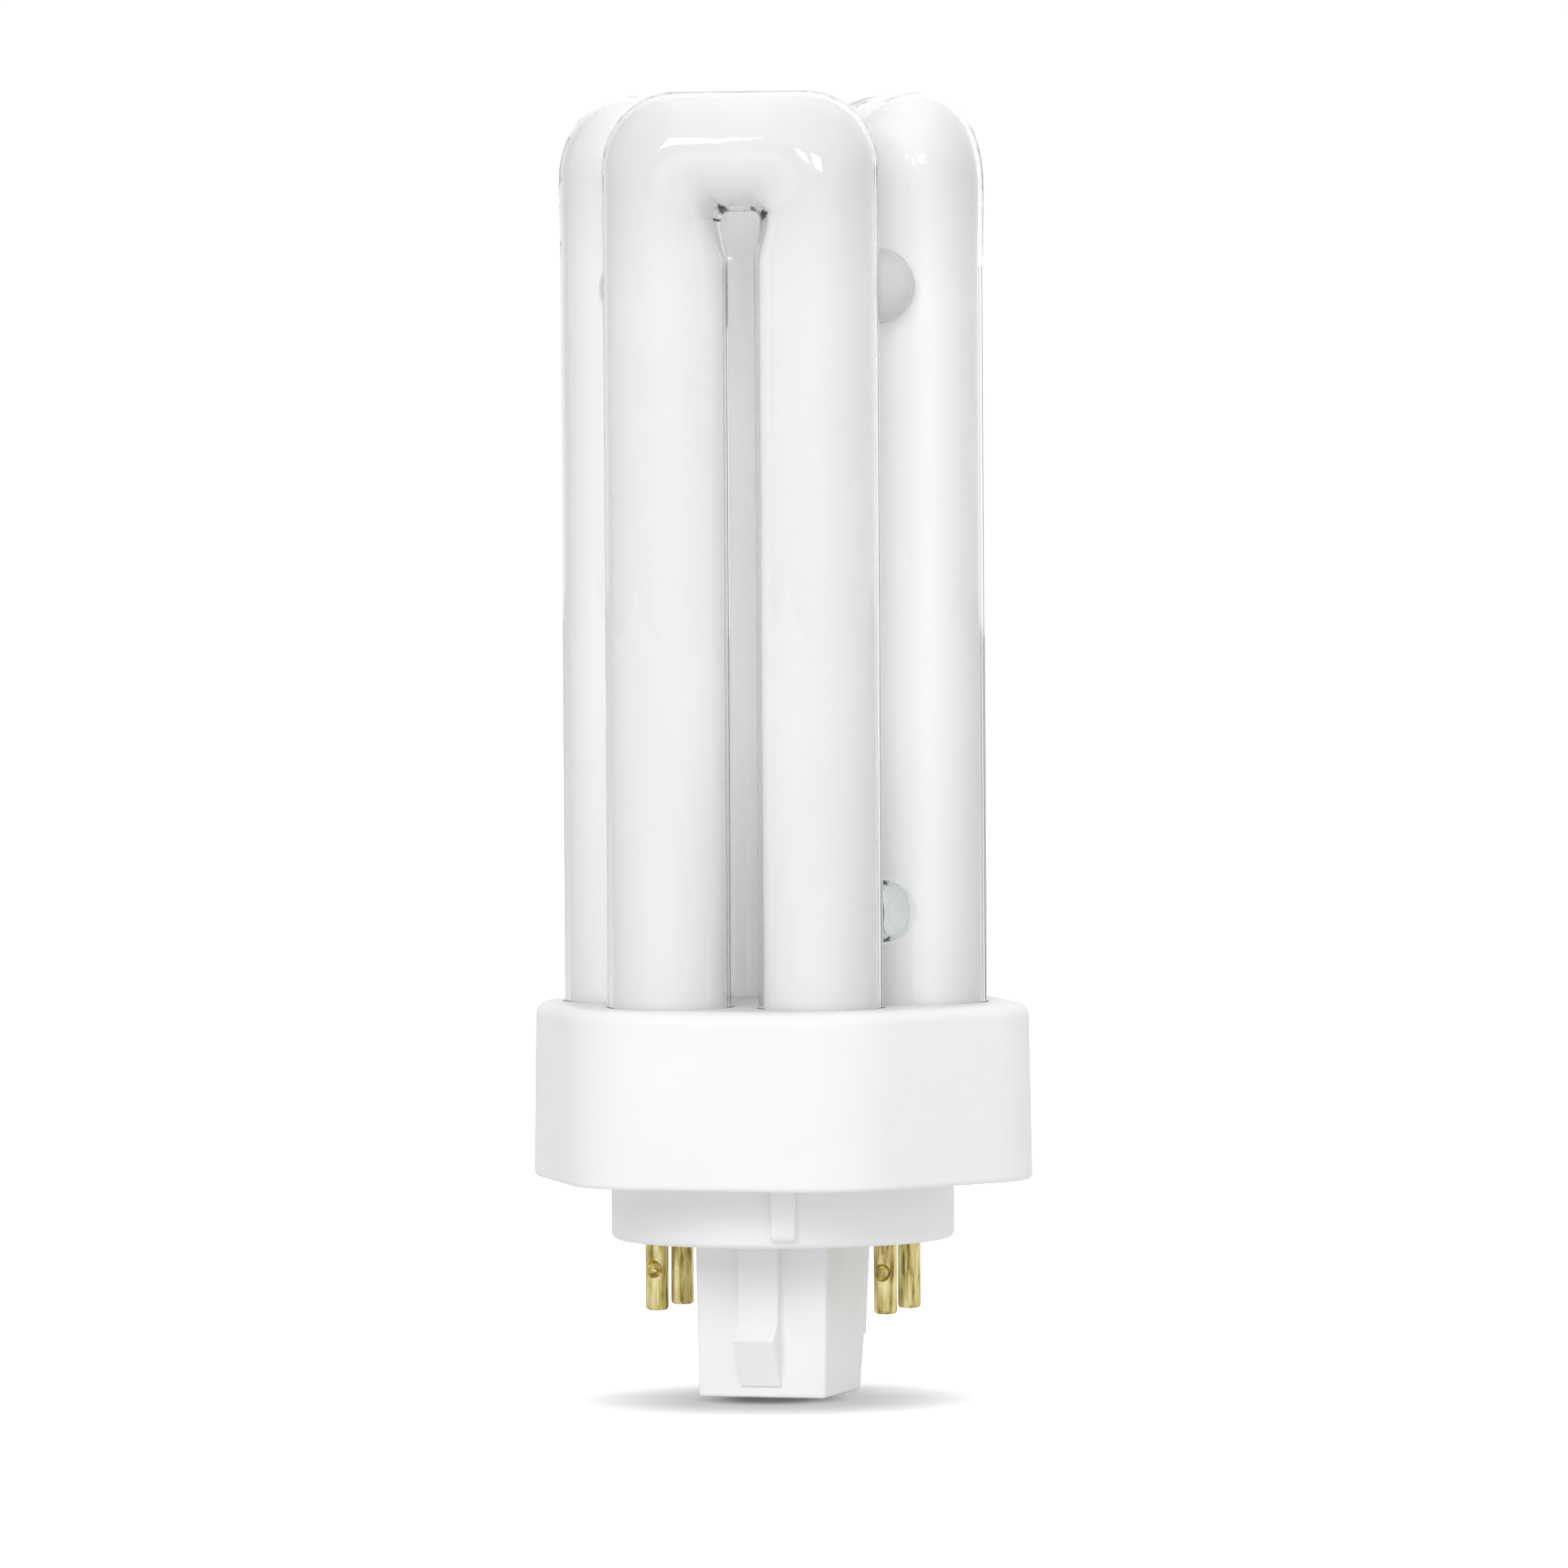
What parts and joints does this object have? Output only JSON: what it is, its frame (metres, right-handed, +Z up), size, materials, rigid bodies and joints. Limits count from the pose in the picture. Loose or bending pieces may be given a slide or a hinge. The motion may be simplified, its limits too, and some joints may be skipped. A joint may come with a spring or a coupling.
{
  "type": "four pin compact fluorescent lamp",
  "caption": "Plug-in compact fluorescent lamp: joined U-shaped glass tubes stand in a hexagonal plastic collar, over a keyed cap with brass contact pins.",
  "frame": {"origin": "on the lamp's axis, in the plane of the post's flat end", "axes": "+Z runs up the axis from the cap to the glass bends, -Y is the side of the front catch and the front U of the tube, +X is to the right as the front is seen"},
  "size_m": [0.0516, 0.0474, 0.1308],
  "materials": {
    "coated_glass": "clear glass over a matt white coating",
    "white_plastic": "satin, with moulded-in colour",
    "cement": "chalky",
    "clear_silicone": "translucent, smooth",
    "pin_brass": "drawn, slightly tarnished",
    "lead_metal": "drawn wire"
  },
  "bodies": {
    "root": {"discharge_tube": "coated_glass", "tube_collar": "white_plastic", "tube_cement": "cement", "base_cap": "white_plastic", "silicone_dab_right": "clear_silicone", "silicone_dab_left": "clear_silicone", "silicone_dab_rear": "clear_silicone", "contact_pin_front_left": "pin_brass", "contact_pin_rear_left": "pin_brass", "contact_pin_front_right": "pin_brass", "contact_pin_rear_right": "pin_brass", "lead_wire_front_left": "lead_metal", "lead_wire_rear_left": "lead_metal", "lead_wire_front_right": "lead_metal", "lead_wire_rear_right": "lead_metal"}
  },
  "joints": []
}
